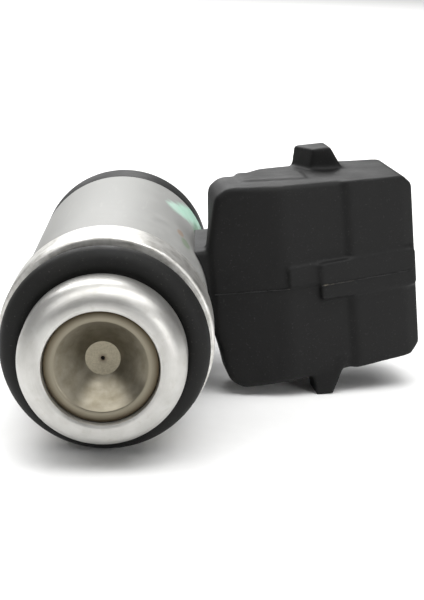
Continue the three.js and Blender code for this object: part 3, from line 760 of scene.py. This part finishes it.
# ---- Inlet filter ----
# A blue nylon basket pressed into the end of the fuel tube: a flange with the fuel opening, and a cup
# with four windows. A fine woven mesh cup is moulded inside it.
basket_finish = new_finish("blue filter nylon", 0.0, Subsurface_Weight=0.05)
flow = speckle(basket_finish, 1.4, 5.0)
blue = shades(basket_finish, flow, [(0.3, (0.035, 0.085, 0.22)), (0.7, (0.055, 0.12, 0.28))])
feed(basket_finish, "Base Color", blue)
feed(basket_finish, "Roughness", span(basket_finish, flow, 0.35, 0.5))
relief(basket_finish, (speckle(basket_finish, 5), 0.008))
flange_radius, flange_start, flange_end = 6.2, 47.36, 48.56
cup_end, cup_floor = 43.36, 43.96
opening, cup_inside, cup_outside, centre = 1.95, 2.45, 2.85, 0.02
basket = turned("filter_basket", [
    (opening, flange_end), (opening, flange_start), (cup_inside, flange_start), (cup_inside, cup_floor),
    (centre, cup_floor), (centre, cup_end), (cup_outside, cup_end), (cup_outside, flange_start),
    (flange_radius, flange_start), (flange_radius, flange_end),
], 96)
round_ring(basket, flange_radius, flange_end, 0.3, 4)
round_ring(basket, flange_radius, flange_start, 0.15, 2)
round_ring(basket, opening, flange_end, 0.25, 3)
slot_start, slot_end, slot_half = 38.26, 41.06, 1.1
for across, high_up in ((4, slot_half), (slot_half, 4)):
    low, high = (-across, slot_start, -high_up), (across, slot_end, high_up)
    join_solid(basket, block("opening", low, high), "DIFFERENCE")
smooth(basket)
settle(basket, "injector", basket_finish)
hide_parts("filter_frame")

mesh_finish = new_finish("woven filter mesh", 0.2)
parts = add_node(mesh_finish, "SeparateXYZ", {"Vector": place_on(mesh_finish)}).outputs
spin = add_node(mesh_finish, "Math", {0: parts["Z"], 1: parts["X"]}, operation="ARCTAN2").outputs[0]
round_way = add_node(mesh_finish, "Math", {0: spin, 1: 2.2 * mm}, operation="MULTIPLY").outputs[0]
cloth = add_node(mesh_finish, "CombineXYZ", {"X": round_way, "Y": parts["Y"]}).outputs[0]
threads = []
for way in ("X", "Y"):
    wave = add_node(mesh_finish, "TexWave", {"Vector": cloth, "Scale": 1.6 / mm, "Distortion": 0.0},
                    bands_direction=way)
    threads.append(wave.outputs["Fac"])
weave = add_node(mesh_finish, "Math", {0: threads[0], 1: threads[1]}, operation="MAXIMUM").outputs[0]
straw = shades(mesh_finish, weave, [(0.45, (0.10, 0.085, 0.05)), (0.85, (0.55, 0.48, 0.31))])
feed(mesh_finish, "Base Color", straw)
feed(mesh_finish, "Roughness", span(mesh_finish, weave, 0.7, 0.45))
relief(mesh_finish, (weave, 0.03))
cloth_radius, cloth_start, cloth_end = 2.4, 43.99, 47.33
thread = 0.2
cup = turned("filter_cup", [
    (centre, cloth_start), (cloth_radius, cloth_start), (cloth_radius, cloth_end),
    (cloth_radius - thread, cloth_end), (cloth_radius - thread, cloth_start + thread),
    (centre, cloth_start + thread),
], 96)
smooth(cup)
settle(cup, "injector", mesh_finish)
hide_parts("filter_mesh")

# ---- Hidden working parts ----
# The fuel tube, sleeves, seat and valve are turned or ground steel; the coil is enamelled copper on a
# pale nylon bobbin, closed by a magnetic steel washer. They keep their shapes and only get finishes.


def coat(node, finish):
    """Lays a finish on a part that keeps its own shape."""
    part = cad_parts[node]
    part.data.materials.clear()
    part.data.materials.append(finish)


def ground_steel(name, dark, light, rough):
    finish = new_finish(name, 1.0)
    marks = turning_marks(finish, 12)
    tone = speckle(finish, 0.8, 4.0)
    feed(finish, "Base Color", shades(finish, tone, [(0.3, dark), (0.7, light)]))
    feed(finish, "Roughness", span(finish, marks, rough, rough + 0.18))
    relief(finish, (marks, 0.005))
    return finish


tube_finish = ground_steel("drawn tube steel", (0.52, 0.51, 0.49), (0.66, 0.65, 0.63), 0.24)
for node in ("inlet_tube", "adjusting_sleeve", "valve_sleeve"):
    coat(node, tube_finish)
valve_finish = ground_steel("ground valve steel", (0.60, 0.60, 0.60), (0.74, 0.74, 0.74), 0.10)
for node in ("valve_ball", "needle_tube", "valve_seat", "needle_guide"):
    coat(node, valve_finish)
magnet_finish = ground_steel("soft magnetic steel", (0.34, 0.34, 0.34), (0.46, 0.46, 0.45), 0.32)
for node in ("armature", "flux_washer"):
    coat(node, magnet_finish)

bobbin_finish = new_finish("natural bobbin nylon", 0.0, Subsurface_Weight=0.08)
haze = speckle(bobbin_finish, 1, 5.0)
cream = shades(bobbin_finish, haze, [(0.3, (0.56, 0.50, 0.38)), (0.7, (0.68, 0.62, 0.50))])
feed(bobbin_finish, "Base Color", cream)
feed(bobbin_finish, "Roughness", span(bobbin_finish, haze, 0.42, 0.58))
relief(bobbin_finish, (haze, 0.01))
coat("coil_bobbin", bobbin_finish)

copper_finish = new_finish("enamelled copper wire", 0.9, Coat_Weight=0.4, Coat_Roughness=0.15)
layers = add_node(copper_finish, "TexWave", {
    "Vector": place_on(copper_finish), "Scale": 1.1 / mm, "Distortion": 0.4, "Detail": 1.0,
}, bands_direction="Y").outputs["Fac"]
copper = shades(copper_finish, layers, [(0.1, (0.22, 0.075, 0.03)), (0.7, (0.62, 0.26, 0.12))])
feed(copper_finish, "Base Color", copper)
feed(copper_finish, "Roughness", span(copper_finish, layers, 0.45, 0.25))
relief(copper_finish, (layers, 0.05))
coat("coil_winding", copper_finish)

# ---- Return spring ----
# The spring that shuts the valve: seven turns of hard-drawn wire, wound in a plain helix. Its far end
# rests on the adjusting sleeve and stays still.
wire, turns, wound = 0.4 * mm, 7, 1.5 * mm
low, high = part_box("return_spring")
bpy.ops.object.select_all(action="DESELECT")
bpy.ops.mesh.primitive_circle_add(vertices=12, radius=wire / 2, location=(wound, low.y + wire / 2, 0))
spring = bpy.context.object
spring.name = "valve_spring"
bpy.ops.object.transform_apply()
apply(spring, "SCREW", axis="Y", angle=math.tau, steps=40, render_steps=40, iterations=turns,
      screw_offset=(high.y - low.y - wire) / turns)
bpy.ops.object.mode_set(mode="EDIT")
bpy.ops.mesh.select_all(action="SELECT")
bpy.ops.mesh.fill_holes(sides=0)
bpy.ops.mesh.select_all(action="SELECT")
bpy.ops.mesh.normals_make_consistent(inside=False)
bpy.ops.object.mode_set(mode="OBJECT")
smooth(spring)
spring_finish = ground_steel("spring wire", (0.40, 0.39, 0.37), (0.54, 0.53, 0.51), 0.2)
settle(spring, "injector", spring_finish)
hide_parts("return_spring")
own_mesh(spring)

# ---- Floor and light ----
# The injector rests on its shoulder ring and on the socket's lower lug, on a plain pale sheet. Four
# soft rectangular lamps stand round it; the wide one overhead is mirrored as a crescent in the cone.
tilt = math.radians(6.3)
rest = -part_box("shoulder_ring")[1].x
bpy.ops.object.select_all(action="DESELECT")
bpy.ops.mesh.primitive_plane_add(
    size=6, location=(rest * math.sin(tilt), 0, rest * math.cos(tilt)), rotation=(0, tilt, 0)
)
floor = bpy.context.object
floor.name = "floor"
paper = new_finish("pale paper", 0.0, Specular_IOR_Level=0.2)
tooth = speckle(paper, 0.4, 3.0)
feed(paper, "Base Color", shades(paper, tooth, [(0.3, (0.90, 0.90, 0.895)), (0.7, (0.92, 0.92, 0.915))]))
feed(paper, "Roughness", span(paper, tooth, 0.85, 0.95))
floor.data.materials.append(paper)

world = bpy.data.worlds.new("studio")
world.use_nodes = True
world.node_tree.nodes["Background"].inputs["Color"].default_value = (1, 1, 1, 1)
world.node_tree.nodes["Background"].inputs["Strength"].default_value = 0.22
bpy.context.scene.world = world
bpy.context.scene.view_settings.view_transform = "Standard"


def soft_light(name, place, aim, width, depth, power):
    light = bpy.data.objects.new(name, bpy.data.lights.new(name, "AREA"))
    bpy.context.scene.collection.objects.link(light)
    light.data.shape = "RECTANGLE"
    light.data.size = width
    light.data.size_y = depth
    light.data.energy = power
    light.location = place
    light.rotation_euler = (Vector(aim) - Vector(place)).to_track_quat("-Z", "Y").to_euler()


soft_light("key", (0.22, -0.18, 0.44), (0.005, 0.01, 0), 0.30, 0.30, 0.6)
soft_light("top", (0.05, -0.12, 0.50), (0.005, 0.0, 0), 1.20, 0.32, 4.0)
soft_light("side", (0.40, -0.36, 0.08), (0.01, 0.0, 0), 0.22, 0.22, 0.7)
soft_light("back", (-0.06, 0.45, 0.38), (0.005, 0.02, 0), 0.40, 0.40, 3.2)
